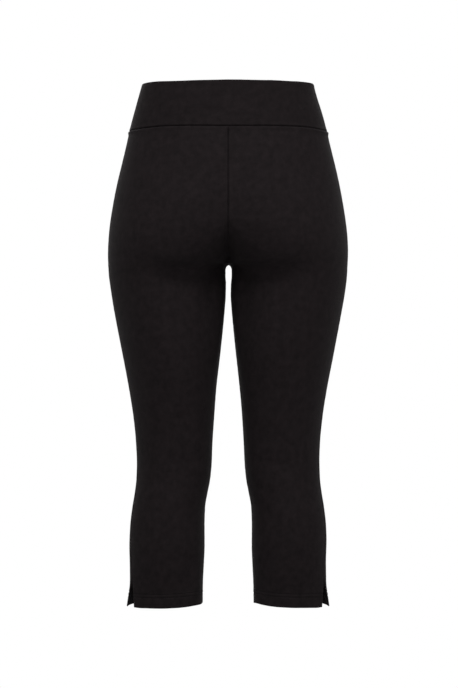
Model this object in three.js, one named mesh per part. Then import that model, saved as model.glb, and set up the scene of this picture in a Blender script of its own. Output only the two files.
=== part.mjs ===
// Capri-length pull-on sports leggings, kept in the hollow form they have when worn.
// Two-piece wide waistband, four leg panels (left/right, back/front), a side slit at each hem.
// Millimetres. +Z up, +Y towards the wearer's front, +X towards the wearer's right.
// The origin is the middle of the waist opening, level with the waistband's top edge.
import * as THREE from "three";

// ---------------------------------------------------------------- driving sizes
const CLOTH = 1.2; // one layer of double-knit jersey
const BAND_CLOTH = 2.4; // the waistband is two layers
const HEM_CLOTH = 2.3; // the hem is turned up once
const SEAM_GAP = 0.3; // clear space between neighbouring pieces at a seam

const WAIST_Z = 0; // top edge of the waistband
const BAND_SEAM_Z = -70.2; // lower edge of the waistband at the side seams
const BAND_SEAM_RISE = 1.9; // how much higher that edge is at the centre back
const CROTCH_Z = -270; // underside of the crotch
const HEM_Z = -778.6; // foot of the legs, middle of the back panel
const HEM_DROP = 2.3; // the hem is this much lower at the outseam
const HEM_RISE = 3.4; // ... and this much higher at the inseam
const FRONT_HEM_RISE = 2.6; // the front panel's hem is this much higher than the back's
const HEM_DEPTH = 20; // turn-up of the hem
const SLIT_TOP_Z = -741; // top of the slit at the foot of the outseam
const SLIT_FLARE = 4.9; // how far the front panel's free corner stands out
const SLIT_FLARE_REACH = 15; // ... and how far round the leg that reaches
const CROTCH_ROUND = 3; // half-width over which left and right sides blend at the centre line
const SEAM_STEP = 1; // turned allowances lift the panels just below the waistband
const SEAM_STEP_DROP = 7; // ... over this height

// Outline of one side of the garment, a row for each level. outer: half-breadth; inner: the leg's
// inner side measured from the centre plane (negative above the crotch, where the legs are one);
// mid: the middle column of the section; side: how far forward the side extremes lie;
// back, front: how far the section reaches backwards and forwards at its middle column.
const FIGURE = [
  { z: 12, outer: 125.3, inner: -400, mid: 0, side: 0, back: -90.5, front: 90 },
  { z: 0, outer: 128.6, inner: -400, mid: 0, side: 0, back: -93, front: 92.5 },
  { z: -30, outer: 137.2, inner: -400, mid: 0, side: 0, back: -100, front: 97 },
  { z: -60, outer: 145.4, inner: -400, mid: 0, side: 0, back: -108, front: 100.5 },
  { z: -90, outer: 152.4, inner: -390, mid: 0.5, side: 0, back: -116, front: 102.5 },
  { z: -120, outer: 159.8, inner: -360, mid: 4, side: 0, back: -123.5, front: 103 },
  { z: -150, outer: 166.6, inner: -310, mid: 15, side: 0, back: -129.5, front: 101.5 },
  { z: -180, outer: 172.4, inner: -245, mid: 34, side: 0, back: -133, front: 98.5 },
  { z: -205, outer: 176.4, inner: -160, mid: 55, side: 0, back: -132.5, front: 95.2 },
  { z: -225, outer: 178.6, inner: -92, mid: 70, side: 0, back: -129, front: 92.8 },
  { z: -240, outer: 179.4, inner: -50, mid: 80, side: 0, back: -124.2, front: 91.4 },
  { z: -250, outer: 179.6, inner: -27, mid: 85, side: 0, back: -120.2, front: 90.7 },
  { z: -260, outer: 179.4, inner: -9.5, mid: 88.7, side: 0, back: -115.6, front: 90.4 },
  { z: -266, outer: 179.1, inner: -1.8, mid: 90.2, side: 0, back: -112.8, front: 90.4 },
  { z: -270, outer: 178.9, inner: 3, mid: 91, side: 0, back: -111, front: 90.5 },
  { z: -273, outer: 178.7, inner: 4.9, mid: 91.4, side: 0, back: -109.7, front: 90.6 },
  { z: -278, outer: 178.4, inner: 5.9, mid: 91.8, side: 0, back: -107.9, front: 90.9 },
  { z: -286, outer: 177.9, inner: 5.9, mid: 91.7, side: 0, back: -105.8, front: 91.2 },
  { z: -300, outer: 176.3, inner: 5.1, mid: 90.6, side: 0, back: -103.9, front: 91.6 },
  { z: -315, outer: 174.2, inner: 5.1, mid: 89.6, side: 0, back: -102.9, front: 91.4 },
  { z: -335, outer: 170.9, inner: 6.2, mid: 88.6, side: 0, back: -101.4, front: 90.3 },
  { z: -360, outer: 166.3, inner: 8.3, mid: 87.3, side: 0, back: -98.6, front: 87.6 },
  { z: -395, outer: 159.5, inner: 11.7, mid: 85.6, side: 0, back: -92.7, front: 82.3 },
  { z: -430, outer: 152.6, inner: 15.5, mid: 84, side: 0, back: -85, front: 75.8 },
  { z: -465, outer: 146.4, inner: 19, mid: 82.7, side: 0, back: -76.8, front: 69.5 },
  { z: -500, outer: 141.1, inner: 21.6, mid: 81.4, side: -0.5, back: -69.8, front: 64 },
  { z: -535, outer: 137.6, inner: 23.9, mid: 80.8, side: -1.5, back: -64.9, front: 59.4 },
  { z: -566, outer: 136.4, inner: 25.2, mid: 80.8, side: -3.5, back: -63, front: 54.6 },
  { z: -590, outer: 137.1, inner: 27.5, mid: 82.3, side: -6, back: -64.4, front: 50.2 },
  { z: -612, outer: 139.7, inner: 31.6, mid: 85.7, side: -9, back: -67.6, front: 46.4 },
  { z: -632, outer: 143, inner: 35, mid: 89, side: -12, back: -70.9, front: 43.8 },
  { z: -660, outer: 146.2, inner: 36, mid: 91.1, side: -15, back: -74, front: 41.2 },
  { z: -690, outer: 147.4, inner: 35.8, mid: 91.6, side: -16.5, back: -74.9, front: 39.6 },
  { z: -720, outer: 146.7, inner: 36.9, mid: 91.8, side: -16.5, back: -73.4, front: 39 },
  { z: -750, outer: 146.4, inner: 38.2, mid: 92.3, side: -16, back: -71, front: 38.8 },
  { z: -785, outer: 146.4, inner: 38.6, mid: 92.5, side: -15.5, back: -68.8, front: 38.6 },
  { z: -800, outer: 146.4, inner: 38.6, mid: 92.5, side: -15.5, back: -68, front: 38.6 },
];

// How square each quarter of a section is (2 is an ellipse), a row for each level.
const SQUARENESS = [
  { z: 12, outerBack: 2.28, outerFront: 2.2, inside: 2 },
  { z: -150, outerBack: 2.2, outerFront: 2.16, inside: 2 },
  { z: -230, outerBack: 2.08, outerFront: 2.1, inside: 2 },
  { z: -290, outerBack: 2.05, outerFront: 2.08, inside: 2.08 },
  { z: -420, outerBack: 2, outerFront: 2.02, inside: 2.05 },
  { z: -800, outerBack: 2.04, outerFront: 2.02, inside: 2.04 },
];

// Where the outseam runs, as an angle on the section from straight out to the side; minus is
// towards the back.
const OUTSEAM = [
  { z: 12, angle: 0 },
  { z: -250, angle: 0 },
  { z: -566, angle: -10 },
  { z: -700, angle: -20 },
  { z: -800, angle: -25 },
];

// How far the two panels part from that line at the slit, as angles to add to it.
const SLIT = [
  { z: -741, back: 0, front: 0 },
  { z: -760, back: -2, front: 11 },
  { z: -785, back: -4.5, front: 21.5 },
  { z: -800, back: -5, front: 24 },
];

// The long fold under each side of the seat, where the cloth hangs over the back of the thigh.
// x, z: the line along its bottom, a row for each point.
const SEAT_FOLD = [
  { x: 5, z: -296 },
  { x: 43, z: -298 },
  { x: 75, z: -297.5 },
  { x: 103, z: -290.5 },
  { x: 122, z: -280 },
  { x: 144, z: -262 },
];
const FOLD_DEPTH = 14; // how far its bottom lies inwards
const FOLD_ABOVE = 31; // how far the overhanging cloth reaches above its bottom
const FOLD_BELOW = 80; // ... and how far the cloth below it takes to come out again
const FOLD_FULLNESS = 4.5; // the cloth that hangs over it stands out this much
const FOLD_END = 119; // half-breadth at which it has all but died out

// Rows of points on the leg panels: the level where each meets the centre seam or the inseam, and
// where it meets the outseam. The rows draw together at the crotch, where the seam turns under.
const PANEL_ROWS = [
  { inner: BAND_SEAM_Z, side: BAND_SEAM_Z },
  { inner: -73.5, side: -73.5 },
  { inner: -80, side: -80 },
  { inner: -96, side: -95 },
  { inner: -118, side: -115 },
  { inner: -142, side: -136 },
  { inner: -166, side: -156 },
  { inner: -188, side: -174 },
  { inner: -207, side: -190 },
  { inner: -223, side: -204 },
  { inner: -236, side: -217 },
  { inner: -247, side: -229 },
  { inner: -256, side: -240 },
  { inner: -263, side: -250 },
  { inner: -267.6, side: -258 },
  { inner: -269.5, side: -265 },
  { inner: CROTCH_Z, side: CROTCH_Z },
  { inner: -271, side: -276 },
  { inner: -273.5, side: -284 },
  { inner: -278, side: -293 },
  { inner: -285, side: -303 },
  { inner: -296, side: -315 },
  { inner: -312, side: -330 },
  { inner: -335, side: -350 },
  { inner: -365, side: -376 },
  { inner: -400, side: -405 },
  { inner: -437, side: -437 },
  { inner: -472, side: -472 },
  { inner: -505, side: -505 },
  { inner: -536, side: -536 },
  { inner: -564, side: -564 },
  { inner: -590, side: -590 },
  { inner: -615, side: -615 },
  { inner: -642, side: -642 },
  { inner: -674, side: -674 },
  { inner: -708, side: -708 },
  { inner: SLIT_TOP_Z, side: SLIT_TOP_Z },
  { inner: HEM_Z + HEM_DEPTH + 1.5, side: HEM_Z + HEM_DEPTH + 1.5 },
  { inner: HEM_Z + HEM_DEPTH, side: HEM_Z + HEM_DEPTH },
  { inner: HEM_Z, side: HEM_Z },
];
const PANEL_COLUMNS = 12;
const BAND_LEVELS = [0, -16, -38, -58, BAND_SEAM_Z];
const BAND_COLUMNS = 26;

// ---------------------------------------------------------------- interpolation of the tables
// Monotone cubic through a table's column, so no size overshoots the rows it lies between.
function column(table, name) {
  const rows = [...table].sort((a, b) => a.z - b.z);
  const x = rows.map((r) => r.z);
  const y = rows.map((r) => r[name]);
  const last = x.length - 1;
  const slope = x.slice(1).map((v, i) => (y[i + 1] - y[i]) / (v - x[i]));
  const tangent = y.map((_, i) => {
    if (i === 0) return slope[0];
    if (i === last) return slope[last - 1];
    if (slope[i - 1] * slope[i] <= 0) return 0;
    const before = x[i] - x[i - 1];
    const after = x[i + 1] - x[i];
    return (
      (3 * (before + after)) /
      ((2 * after + before) / slope[i - 1] + (after + 2 * before) / slope[i])
    );
  });
  return (z) => {
    const at = Math.min(Math.max(z, x[0]), x[last]);
    let i = 0;
    while (i < last - 1 && at > x[i + 1]) i++;
    const h = x[i + 1] - x[i];
    const t = (at - x[i]) / h;
    const t2 = t * t;
    const t3 = t2 * t;
    return (
      (2 * t3 - 3 * t2 + 1) * y[i] +
      (t3 - 2 * t2 + t) * h * tangent[i] +
      (3 * t2 - 2 * t3) * y[i + 1] +
      (t3 - t2) * h * tangent[i + 1]
    );
  };
}

const figure = {};
for (const name of ["outer", "inner", "mid", "side", "back", "front"])
  figure[name] = column(FIGURE, name);
const square = {};
for (const name of ["outerBack", "outerFront", "inside"]) square[name] = column(SQUARENESS, name);
const outseam = column(OUTSEAM, "angle");
const parting = { back: column(SLIT, "back"), front: column(SLIT, "front") };

const ramp = (from, to, v) => {
  const t = Math.min(Math.max((v - from) / (to - from), 0), 1);
  return t * t * (3 - 2 * t);
};

function sectionAt(z) {
  const s = {};
  for (const name in figure) s[name] = figure[name](z);
  for (const name in square) s[name] = square[name](z);
  return s;
}

// ---------------------------------------------------------------- the worn surface
// One quarter's radii and exponent. inward: on the inner side of the middle column.
function quarter(s, inward, backward) {
  return {
    rx: inward ? s.mid - s.inner : s.outer - s.mid,
    ry: backward ? s.side - s.back : s.front - s.side,
    n: inward ? s.inside : backward ? s.outerBack : s.outerFront,
  };
}

// Less than 0 inside the garment, more outside. Both sides of x = 0 blend into each other.
function field(x, y, z) {
  const s = sectionAt(z);
  const u = Math.hypot(x, CROTCH_ROUND) - s.mid;
  const v = y - s.side;
  const q = quarter(s, u < 0, v < 0);
  return Math.pow(Math.pow(Math.abs(u) / q.rx, q.n) + Math.pow(Math.abs(v) / q.ry, q.n), 1 / q.n) - 1;
}

function outward(x, y, z) {
  const h = 0.02;
  const gradient = new THREE.Vector3(
    field(x + h, y, z) - field(x - h, y, z),
    field(x, y + h, z) - field(x, y - h, z),
    field(x, y, z + h) - field(x, y, z - h),
  );
  return gradient.normalize();
}

// The section of the right side at one level, as a line of close points from its inner back end
// round the outside to its inner front end, each with its angle and its distance along the line.
function ringAt(z) {
  const s = sectionAt(z);
  const end = (backward) => {
    const reach = CROTCH_ROUND - s.mid;
    const q = quarter(s, reach < 0, backward);
    const share = Math.min(Math.abs(reach) / q.rx, 1);
    const across = Math.sign(reach) * Math.pow(share, q.n / 2);
    return (backward ? -1 : 1) * Math.acos(across);
  };
  const from = end(true);
  const to = end(false);
  const steps = 360;
  const ring = [];
  let walked = 0;
  for (let i = 0; i <= steps; i++) {
    const angle = from + ((to - from) * i) / steps;
    const c = Math.cos(angle);
    const d = Math.sin(angle);
    const q = quarter(s, c < 0, d < 0);
    const u = s.mid + Math.sign(c) * q.rx * Math.pow(Math.abs(c), 2 / q.n);
    const y = s.side + Math.sign(d) * q.ry * Math.pow(Math.abs(d), 2 / q.n);
    const x = Math.sqrt(Math.max(u * u - CROTCH_ROUND * CROTCH_ROUND, 0));
    if (i) walked += Math.hypot(x - ring[i - 1].x, y - ring[i - 1].y);
    ring.push({ x, y, angle: THREE.MathUtils.radToDeg(angle), walked });
  }
  return ring;
}

const between = (ring, key, value) => {
  let i = 0;
  while (i < ring.length - 2 && value > ring[i + 1][key]) i++;
  const a = ring[i];
  const b = ring[i + 1];
  const t = Math.min(Math.max((value - a[key]) / (b[key] - a[key] || 1), 0), 1);
  const mixed = {};
  for (const k in a) mixed[k] = a[k] + (b[k] - a[k]) * t;
  return mixed;
};

// ---------------------------------------------------------------- walls of cloth
// A closed wall between an outer and an inner grid of points with the same rows and columns.
function wall(outer, inner) {
  const rows = outer.length;
  const cols = outer[0].length;
  const positions = [];
  for (const grid of [outer, inner])
    for (const row of grid) for (const p of row) positions.push(p.x, p.y, p.z);
  const id = (layer, r, c) => layer * rows * cols + r * cols + c;
  const faces = [];
  const quad = (a, b, c, d) => faces.push(a, b, c, a, c, d);
  for (let r = 0; r < rows - 1; r++)
    for (let c = 0; c < cols - 1; c++) {
      quad(id(0, r, c), id(0, r + 1, c), id(0, r + 1, c + 1), id(0, r, c + 1));
      quad(id(1, r, c), id(1, r, c + 1), id(1, r + 1, c + 1), id(1, r + 1, c));
    }
  for (let c = 0; c < cols - 1; c++) {
    quad(id(0, 0, c), id(0, 0, c + 1), id(1, 0, c + 1), id(1, 0, c));
    quad(id(0, rows - 1, c), id(1, rows - 1, c), id(1, rows - 1, c + 1), id(0, rows - 1, c + 1));
  }
  for (let r = 0; r < rows - 1; r++) {
    quad(id(0, r, 0), id(1, r, 0), id(1, r + 1, 0), id(0, r + 1, 0));
    quad(id(0, r, cols - 1), id(0, r + 1, cols - 1), id(1, r + 1, cols - 1), id(1, r, cols - 1));
  }
  const geometry = new THREE.BufferGeometry();
  geometry.setAttribute("position", new THREE.Float32BufferAttribute(positions, 3));
  geometry.setIndex(faces);
  geometry.computeVertexNormals();
  return geometry;
}

// How far inwards the fold under the seat lies at a point of the right side.
function seatFold(x, y, z) {
  const i = Math.max(SEAT_FOLD.findIndex((row) => row.x > x), 1);
  const b = x > SEAT_FOLD.at(-1).x ? SEAT_FOLD.length - 1 : i;
  const from = SEAT_FOLD[b - 1];
  const to = SEAT_FOLD[b];
  const t = THREE.MathUtils.clamp((x - from.x) / (to.x - from.x), 0, 1);
  const w = z - (from.z + (to.z - from.z) * t);
  const left = 1 - w / FOLD_ABOVE;
  const over = Math.min((left + Math.sqrt(left ** 2 + 0.06)) / (1 + Math.sqrt(1.06)), 1);
  const under = Math.exp(-((Math.min(w, 0) / FOLD_BELOW) ** 2));
  const share = 0.5 + 0.5 * Math.tanh(w / 4);
  const fullness = FOLD_FULLNESS * Math.exp(-(((w - 40) / (w > 40 ? 32 : 23)) ** 2));
  const here = ramp(0, 15, x) * (1 - ramp(FOLD_END * 0.57, FOLD_END * 1.12, x));
  const depth = FOLD_DEPTH * (over * share + under * (1 - share)) - fullness;
  return depth * here * ramp(-24, -58, y);
}

// The same grid on the other side of the centre plane.
function mirrored(grid) {
  return grid.map((row) => row.map((p) => new THREE.Vector3(-p.x, p.y, p.z)).reverse());
}

// How much the edges leave the level at an angle on the section: up at the centre back under the
// waistband, down at the outseam and up at the inseam at the hem.
function levelShift(level, angle, isBack) {
  const a = THREE.MathUtils.degToRad(angle);
  const top = BAND_SEAM_RISE * Math.max(-Math.sin(a), 0.35 * Math.sin(a), 0) ** 2;
  const foot =
    (Math.cos(a) > 0 ? -HEM_DROP : -HEM_RISE) * Math.cos(a) + (isBack ? 0 : FRONT_HEM_RISE);
  return top * (1 - ramp(BAND_SEAM_Z, BAND_SEAM_Z - 55, level)) + foot * ramp(-700, HEM_Z, level);
}

// One row of points across a leg panel of the right side, evenly spaced from the centre seam or
// inseam to the outseam.
function panelRow(row, isBack) {
  const steps = 72;
  const line = [];
  for (let i = 0; i <= steps; i++) {
    const t = i / steps;
    const level = row.side + (row.inner - row.side) * (1 - t) ** 2;
    const rough = ringAt(level);
    const total = rough.at(-1).walked;
    const seamAngle = outseam(level) + parting[isBack ? "back" : "front"](level);
    const atSeam = between(rough, "angle", seamAngle).walked;
    const margin = SEAM_GAP / 2 + 0.02;
    const near = isBack ? margin : total - margin;
    const far = isBack ? atSeam - SEAM_GAP / 2 : atSeam + SEAM_GAP / 2;
    const along = near + (far - near) * t;
    const angle = between(rough, "walked", along).angle;
    const underBand = row.inner === BAND_SEAM_Z ? SEAM_GAP / 2 : 0;
    const z = level + levelShift(level, angle, isBack) - underBand;
    const ring = ringAt(z);
    const { x, y } = between(ring, "walked", (along * ring.at(-1).walked) / total);
    const last = line.at(-1);
    const walked = last ? last.walked + Math.hypot(x - last.x, y - last.y, z - last.z) : 0;
    line.push({ x, y, z, level, fromSlit: Math.abs(along - atSeam), walked });
  }
  const points = [];
  for (let c = 0; c <= PANEL_COLUMNS; c++)
    points.push(between(line, "walked", (line.at(-1).walked * c) / PANEL_COLUMNS));
  return isBack ? points : points.reverse();
}

// One leg panel of the right side, as its outer and inner grids.
function panelGrids(isBack) {
  const outer = [];
  const inner = [];
  for (const row of PANEL_ROWS) {
    const thick = row.inner <= HEM_Z + HEM_DEPTH ? HEM_CLOTH : CLOTH;
    const outerRow = [];
    const innerRow = [];
    for (const { x, y, z, level, fromSlit } of panelRow(row, isBack)) {
      const n = outward(x, y, z);
      const lift = SEAM_STEP * (1 - ramp(BAND_SEAM_Z - 1, BAND_SEAM_Z - SEAM_STEP_DROP, z));
      const opened = Math.max((SLIT_TOP_Z - level) / (SLIT_TOP_Z - HEM_Z), 0);
      const flare = isBack
        ? 0
        : SLIT_FLARE * opened ** 1.15 * Math.exp(-((fromSlit / SLIT_FLARE_REACH) ** 2));
      const fold = isBack ? seatFold(x, y, z) : 0;
      const at = new THREE.Vector3(x, y, z);
      outerRow.push(at.clone().addScaledVector(n, lift + flare - fold));
      innerRow.push(at.clone().addScaledVector(n, lift + flare - fold - thick));
    }
    outer.push(outerRow);
    inner.push(innerRow);
  }
  return { outer, inner };
}

// Half of the waistband, from side seam to side seam, as its outer and inner grids.
function bandGrids(isBack) {
  const outer = [];
  const inner = [];
  for (const level of BAND_LEVELS) {
    const foot = level === BAND_LEVELS.at(-1);
    const outerRow = [];
    const innerRow = [];
    for (let c = 0; c <= BAND_COLUMNS; c++) {
      // from the left side seam, round the back or the front, to the right side seam
      const across = (2 * c) / BAND_COLUMNS - 1;
      const rough = ringAt(level);
      const atSide = between(rough, "angle", 0).walked;
      const total = rough.at(-1).walked;
      const half = isBack ? atSide : total - atSide;
      const away = Math.abs(across) * (half - SEAM_GAP / 2);
      const walked = isBack ? away : total - away;
      const angle = between(rough, "walked", walked).angle;
      const shift = levelShift(BAND_SEAM_Z, angle, isBack) * (level / BAND_SEAM_Z);
      const z = level + shift + (foot ? SEAM_GAP / 2 : 0);
      const ring = ringAt(z);
      const p = between(ring, "walked", (walked * ring.at(-1).walked) / total);
      const x = Math.sign(across) * p.x;
      const n = outward(x, p.y, z);
      const at = new THREE.Vector3(x, p.y, z);
      outerRow.push(at.clone());
      innerRow.push(at.clone().addScaledVector(n, -BAND_CLOTH));
    }
    outer.push(outerRow);
    inner.push(innerRow);
  }
  return { outer, inner };
}

// ---------------------------------------------------------------- the garment
const jersey = { color: 0x1f1c1d, roughness: 0.92, metalness: 0 };
const leggings = new THREE.Group();
leggings.name = "leggings";

function add(name, outer, inner) {
  const mesh = new THREE.Mesh(wall(outer, inner), new THREE.MeshStandardMaterial(jersey));
  mesh.name = name;
  leggings.add(mesh);
}

const back = panelGrids(true);
const front = panelGrids(false);
add("back_right", back.outer, back.inner);
add("back_left", mirrored(back.outer), mirrored(back.inner));
add("front_right", front.outer, front.inner);
add("front_left", mirrored(front.outer), mirrored(front.inner));

const bandBack = bandGrids(true);
const bandFront = bandGrids(false);
add("waistband_back", bandBack.outer, bandBack.inner);
const turned = (grid) => grid.map((row) => [...row].reverse());
add("waistband_front", turned(bandFront.outer), turned(bandFront.inner));

export default leggings;
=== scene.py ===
import math

import bpy
import numpy as np
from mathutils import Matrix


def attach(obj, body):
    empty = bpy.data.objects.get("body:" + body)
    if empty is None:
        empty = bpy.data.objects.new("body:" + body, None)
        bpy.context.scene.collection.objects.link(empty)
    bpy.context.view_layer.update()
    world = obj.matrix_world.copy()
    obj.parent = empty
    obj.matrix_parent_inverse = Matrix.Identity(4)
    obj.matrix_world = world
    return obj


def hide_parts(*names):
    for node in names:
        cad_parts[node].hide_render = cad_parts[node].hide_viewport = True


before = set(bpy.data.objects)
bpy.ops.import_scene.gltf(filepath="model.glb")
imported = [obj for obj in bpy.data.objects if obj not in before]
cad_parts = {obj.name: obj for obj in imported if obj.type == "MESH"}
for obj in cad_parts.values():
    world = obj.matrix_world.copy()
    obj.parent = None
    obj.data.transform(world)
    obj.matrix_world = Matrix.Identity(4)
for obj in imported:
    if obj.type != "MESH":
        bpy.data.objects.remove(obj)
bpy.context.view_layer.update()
MM = 0.001

# ------------------------------------------------------------------ sizes
BAND_SEAM_Z = -70.2
BAND_SEAM_RISE = 1.9
CROTCH_Z = -270.0
HEM_Z = -778.6
HEM_DROP = 2.3
HEM_RISE = 3.4
FRONT_HEM_RISE = 2.6
HEM_DEPTH = 21.8  # from the fold to the raw edge of the turn-up, inside
SLIT_TOP_Z = -741.0
SLIT_GIVES_Z = -731.0  # the seam above the slit already gives a little from here down
SLIT_FLARE = 4.9
SLIT_FLARE_REACH = 15.0
SLIT_DROOP = 1.9  # how far the flap's free corner hangs
CROTCH_ROUND = 3.0
SEAM_STEP = 1.0
SEAM_STEP_DROP = 7.0
CLOTH = 1.05
ALLOWANCE = 1.1  # a pressed seam allowance adds this on the inside
ALLOWANCE_WIDTH = 6.5
BAND_CLOTH = 2.3
NAP = 0.3  # the brushed face stands this far off the knitted ground
STITCH_ROWS = (15.6, 20.4)  # heights of the twin-needle rows above the hem's fold

FIGURE_NAMES = ("outer", "inner", "mid", "side", "back", "front")
FIGURE = [  # z, outer, inner, mid, side, back, front
    (12, 125.3, -400, 0, 0, -90.5, 90),
    (0, 128.6, -400, 0, 0, -93, 92.5),
    (-30, 137.2, -400, 0, 0, -100, 97),
    (-60, 145.4, -400, 0, 0, -108, 100.5),
    (-90, 152.4, -390, 0.5, 0, -116, 102.5),
    (-120, 159.8, -360, 4, 0, -123.5, 103),
    (-150, 166.6, -310, 15, 0, -129.5, 101.5),
    (-180, 172.4, -245, 34, 0, -133, 98.5),
    (-205, 176.4, -160, 55, 0, -132.5, 95.2),
    (-225, 178.6, -92, 70, 0, -129, 92.8),
    (-240, 179.4, -50, 80, 0, -124.2, 91.4),
    (-250, 179.6, -27, 85, 0, -120.2, 90.7),
    (-260, 179.4, -9.5, 88.7, 0, -115.6, 90.4),
    (-266, 179.1, -1.8, 90.2, 0, -112.8, 90.4),
    (-270, 178.9, 3, 91, 0, -111, 90.5),
    (-273, 178.7, 4.9, 91.4, 0, -109.7, 90.6),
    (-278, 178.4, 5.9, 91.8, 0, -107.9, 90.9),
    (-286, 177.9, 5.9, 91.7, 0, -105.8, 91.2),
    (-300, 176.3, 5.1, 90.6, 0, -103.9, 91.6),
    (-315, 174.2, 5.1, 89.6, 0, -102.9, 91.4),
    (-335, 170.9, 6.2, 88.6, 0, -101.4, 90.3),
    (-360, 166.3, 8.3, 87.3, 0, -98.6, 87.6),
    (-395, 159.5, 11.7, 85.6, 0, -92.7, 82.3),
    (-430, 152.6, 15.5, 84, 0, -85, 75.8),
    (-465, 146.4, 19, 82.7, 0, -76.8, 69.5),
    (-500, 141.1, 21.6, 81.4, -0.5, -69.8, 64),
    (-535, 137.6, 23.9, 80.8, -1.5, -64.9, 59.4),
    (-566, 136.4, 25.2, 80.8, -3.5, -63, 54.6),
    (-590, 137.1, 27.5, 82.3, -6, -64.4, 50.2),
    (-612, 139.7, 31.6, 85.7, -9, -67.6, 46.4),
    (-632, 143, 35, 89, -12, -70.9, 43.8),
    (-660, 146.2, 36, 91.1, -15, -74, 41.2),
    (-690, 147.4, 35.8, 91.6, -16.5, -74.9, 39.6),
    (-720, 146.7, 36.9, 91.8, -16.5, -73.4, 39),
    (-750, 146.4, 38.2, 92.3, -16, -71, 38.8),
    (-785, 146.4, 38.6, 92.5, -15.5, -68.8, 38.6),
    (-800, 146.4, 38.6, 92.5, -15.5, -68, 38.6),
]
SQUARE_NAMES = ("outer_back", "outer_front", "inside")
SQUARENESS = [  # z, outer back, outer front, inside
    (12, 2.28, 2.2, 2),
    (-150, 2.2, 2.16, 2),
    (-230, 2.08, 2.1, 2),
    (-290, 2.05, 2.08, 2.08),
    (-420, 2, 2.02, 2.05),
    (-800, 2.04, 2.02, 2.04),
]
OUTSEAM = [(12, 0), (-250, 0), (-566, -10), (-700, -20), (-800, -25)]
SLIT_NAMES = ("slit_back", "slit_front")
SLIT = [(-731, 0, 0), (-741, -0.3, 2.2), (-760, -2, 11), (-785, -4.5, 21.5), (-800, -5, 24)]

# where a row of points meets the centre seam or inseam, and where it meets the outseam
PANEL_ROWS = [
    (-96, -95), (-118, -115), (-142, -136), (-166, -156), (-188, -174), (-207, -190),
    (-223, -204), (-236, -217), (-247, -229), (-256, -240), (-263, -250), (-267.6, -258),
    (-269.5, -265), (CROTCH_Z, CROTCH_Z), (-271, -276), (-273.5, -284), (-278, -293),
    (-285, -303), (-296, -315), (-312, -330), (-335, -350), (-365, -376), (-400, -405),
    (-437, -437), (-741, -741),
]
# distances below the waistband seam and above the hem at which rows of points lie
TOP_STEPS = (0.0, 0.15, 0.35, 0.6, 0.9, 1.25, 1.7, 2.3, 3.1, 4.2, 5.6, 7.2, 9.2, 11.6, 14.2, 17, 20, 23)
HEM_STEPS = (
    35, 32.4, 30, 27.6, 25.6, 24, 22.8, 22.2, 21.9, 21.5, 21.1, 20.75, 20.4, 20.05, 19.7, 19.2,
    18.6, 17.8, 17, 16.4, 16, 15.6, 15.2, 14.8, 14.2, 13.2, 11.6, 9.4, 7.2, 5.4, 4, 2.9, 2.1,
    1.55, 1.15, 0.85, 0.6, 0.38, 0.2, 0.08, 0.0,
)
EDGE_STEPS = (0, 0.12, 0.28, 0.48, 0.72, 1.02, 1.4, 1.9, 2.6, 3.6, 4.9, 6.4, 8.2)


# ------------------------------------------------------------------ interpolation of the tables
def monotone(table, names):
    """Monotone cubics through a table's columns, as one fine look-up."""
    rows = np.array(sorted(table), float)
    z = rows[:, 0]
    fine = np.arange(-800, 12.01, 0.25)
    found = {}
    for k, name in enumerate(names, 1):
        y = rows[:, k]
        h = np.diff(z)
        slope = np.diff(y) / h
        tangent = np.zeros(len(z))
        tangent[0], tangent[-1] = slope[0], slope[-1]
        for i in range(1, len(z) - 1):
            if slope[i - 1] * slope[i] > 0:
                a, b = h[i - 1], h[i]
                tangent[i] = 3 * (a + b) / ((2 * b + a) / slope[i - 1] + (b + 2 * a) / slope[i])
        at = np.clip(fine, z[0], z[-1])
        i = np.clip(np.searchsorted(z, at, side="right") - 1, 0, len(h) - 1)
        t = (at - z[i]) / h[i]
        found[name] = (
            (2 * t**3 - 3 * t**2 + 1) * y[i]
            + (t**3 - 2 * t**2 + t) * h[i] * tangent[i]
            + (3 * t**2 - 2 * t**3) * y[i + 1]
            + (t**3 - t**2) * h[i] * tangent[i + 1]
        )
    return fine, found


GRID_Z, TABLE = monotone(FIGURE, FIGURE_NAMES)
TABLE.update(monotone(SQUARENESS, SQUARE_NAMES)[1])
TABLE.update(monotone(OUTSEAM, ("outseam",))[1])
TABLE.update(monotone(SLIT, SLIT_NAMES)[1])


def at_level(name, z):
    return np.interp(z, GRID_Z, TABLE[name])


def ramp(a, b, v):
    t = np.clip((v - a) / (b - a), 0, 1)
    return t * t * (3 - 2 * t)


# ------------------------------------------------------------------ the worn surface
def field(x, y, z):
    mid, side = at_level("mid", z), at_level("side", z)
    u = np.hypot(x, CROTCH_ROUND) - mid
    v = y - side
    rx = np.where(u < 0, mid - at_level("inner", z), at_level("outer", z) - mid)
    ry = np.where(v < 0, side - at_level("back", z), at_level("front", z) - side)
    n = np.where(
        u < 0,
        at_level("inside", z),
        np.where(v < 0, at_level("outer_back", z), at_level("outer_front", z)),
    )
    return (np.abs(u / rx) ** n + np.abs(v / ry) ** n) ** (1 / n) - 1


def outward(p):
    h = 0.3
    x, y, z = p[..., 0], p[..., 1], p[..., 2]
    g = np.stack(
        [
            field(x + h, y, z) - field(x - h, y, z),
            field(x, y + h, z) - field(x, y - h, z),
            field(x, y, z + h) - field(x, y, z - h),
        ],
        -1,
    )
    return g / np.linalg.norm(g, axis=-1, keepdims=True)


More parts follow.
